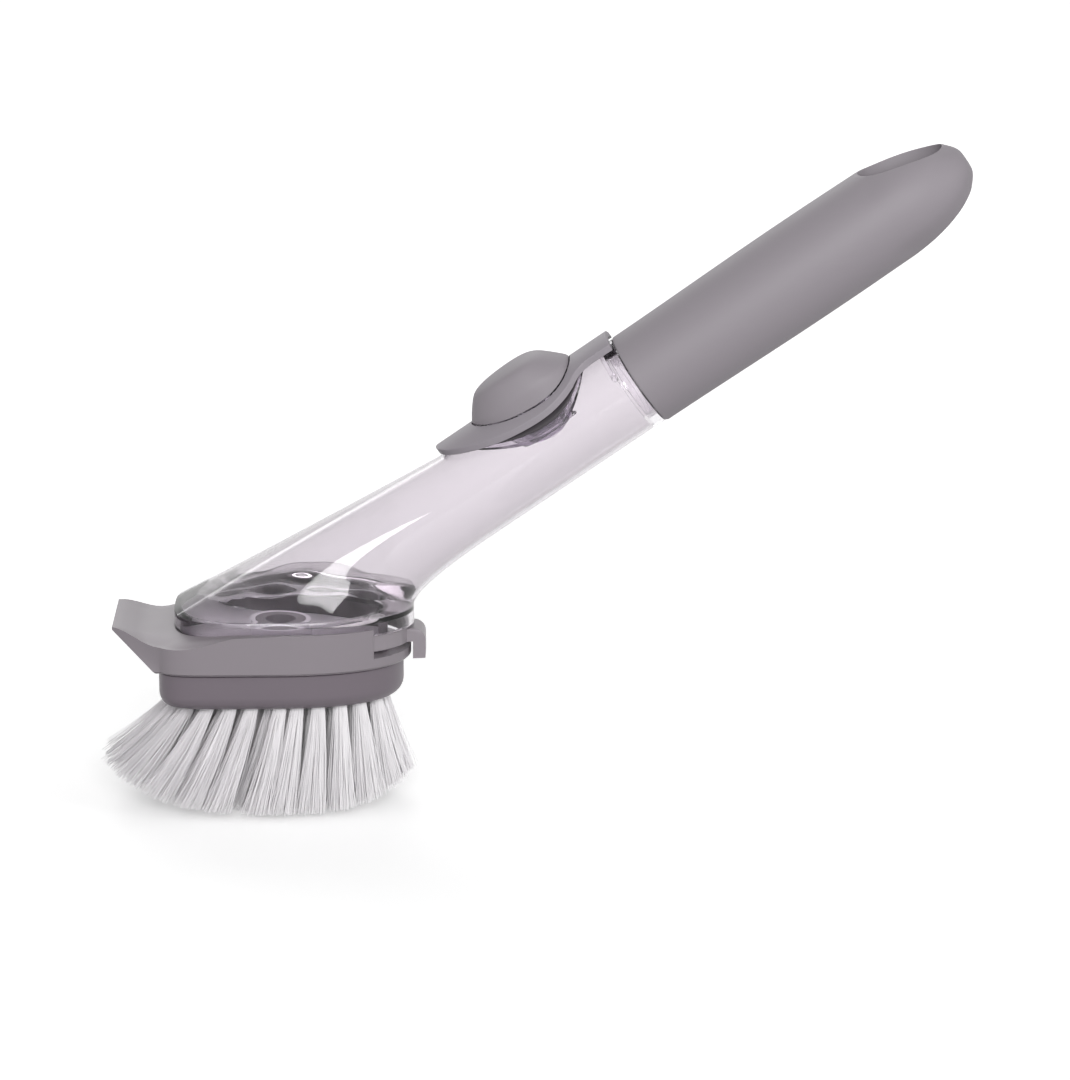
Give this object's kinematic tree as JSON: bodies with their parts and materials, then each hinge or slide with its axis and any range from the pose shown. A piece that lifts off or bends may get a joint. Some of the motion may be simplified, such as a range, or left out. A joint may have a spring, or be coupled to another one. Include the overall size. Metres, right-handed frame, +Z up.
{
  "type": "dish wand",
  "caption": "Soap-dispensing dish brush: clear angled reservoir handle with a thumb pump, pull-off grip with a hanging slot, and a snap-in bristle refill in a scraper-nosed head.",
  "frame": {"origin": "on the floor, at the middle of the trimmed bristle tips that the wand stands on", "axes": "+X from the scraper nose towards the grip, +Z up out of the floor, +Y to the wand's side; the wand is the same on both sides of Y"},
  "size_m": [0.258, 0.054, 0.2022],
  "materials": {
    "clear_plastic": "clear glossy plastic",
    "clear_band": "clear glossy plastic",
    "frame_grey": "satin moulded plastic",
    "latch_grey": "satin moulded plastic",
    "soft_grey": "soft-touch matt",
    "plate_grey": "satin moulded plastic",
    "base_grey": "satin moulded plastic",
    "core_grey": "moulded plastic",
    "seat_tint": "tinted clear plastic",
    "white_silicone": "silicone",
    "white_plastic": "moulded plastic",
    "dark_rubber": "gasket rubber",
    "bristle_white": "nylon filament"
  },
  "bodies": {
    "wand": {"reservoir": "clear_plastic", "foot_plate": "white_plastic", "outlet_valve": "white_silicone", "valve_retainer": "core_grey", "head_frame": "frame_grey", "pump_seat": "seat_tint", "seat_gasket": "dark_rubber", "cover_plate": "plate_grey", "cover_strap": "clear_band", "pump_bellows": "white_silicone", "air_valve": "white_silicone", "collar_band": "clear_band"},
    "button": {"thumb_button": "soft_grey", "button_stem": "white_plastic"},
    "latch": {"release_latch": "latch_grey"},
    "refill": {"brush_base": "base_grey", "refill_collar": "base_grey", "outlet_seal": "white_silicone", "bristles_front": "bristle_white", "bristles_mid_front": "bristle_white", "bristles_mid_back": "bristle_white", "bristles_back": "bristle_white"},
    "neck": {"neck_seal": "dark_rubber"},
    "grip": {"grip_core": "core_grey", "grip_sleeve": "soft_grey"}
  },
  "joints": [
    {"name": "button_press", "type": "slide", "parent": "wand", "child": "button", "axis": [0.5693, 0, -0.8221], "range_m": [0, 0.0026], "stiffness_N_per_m": 1500, "springref_m": -0.001, "deforming": ["pump_bellows"]},
    {"name": "latch_slide", "type": "slide", "parent": "wand", "child": "latch", "axis": [-1, 0, 0], "range_m": [0, 0.0012], "stiffness_N_per_m": 1500, "springref_m": -0.0006},
    {"name": "refill_drop", "type": "slide", "parent": "wand", "child": "refill", "axis": [0, 0, -1], "range_m": [0, 0.016]},
    {"name": "grip_pull", "type": "slide", "parent": "wand", "child": "neck", "axis": [0.8221, 0, 0.5693], "range_m": [0, 0.03]},
    {"name": "grip_turn", "type": "hinge", "parent": "neck", "child": "grip", "pos_m": [0.1078, 0, 0.13055], "axis": [0.8221, 0, 0.5693], "continuous": true}
  ]
}
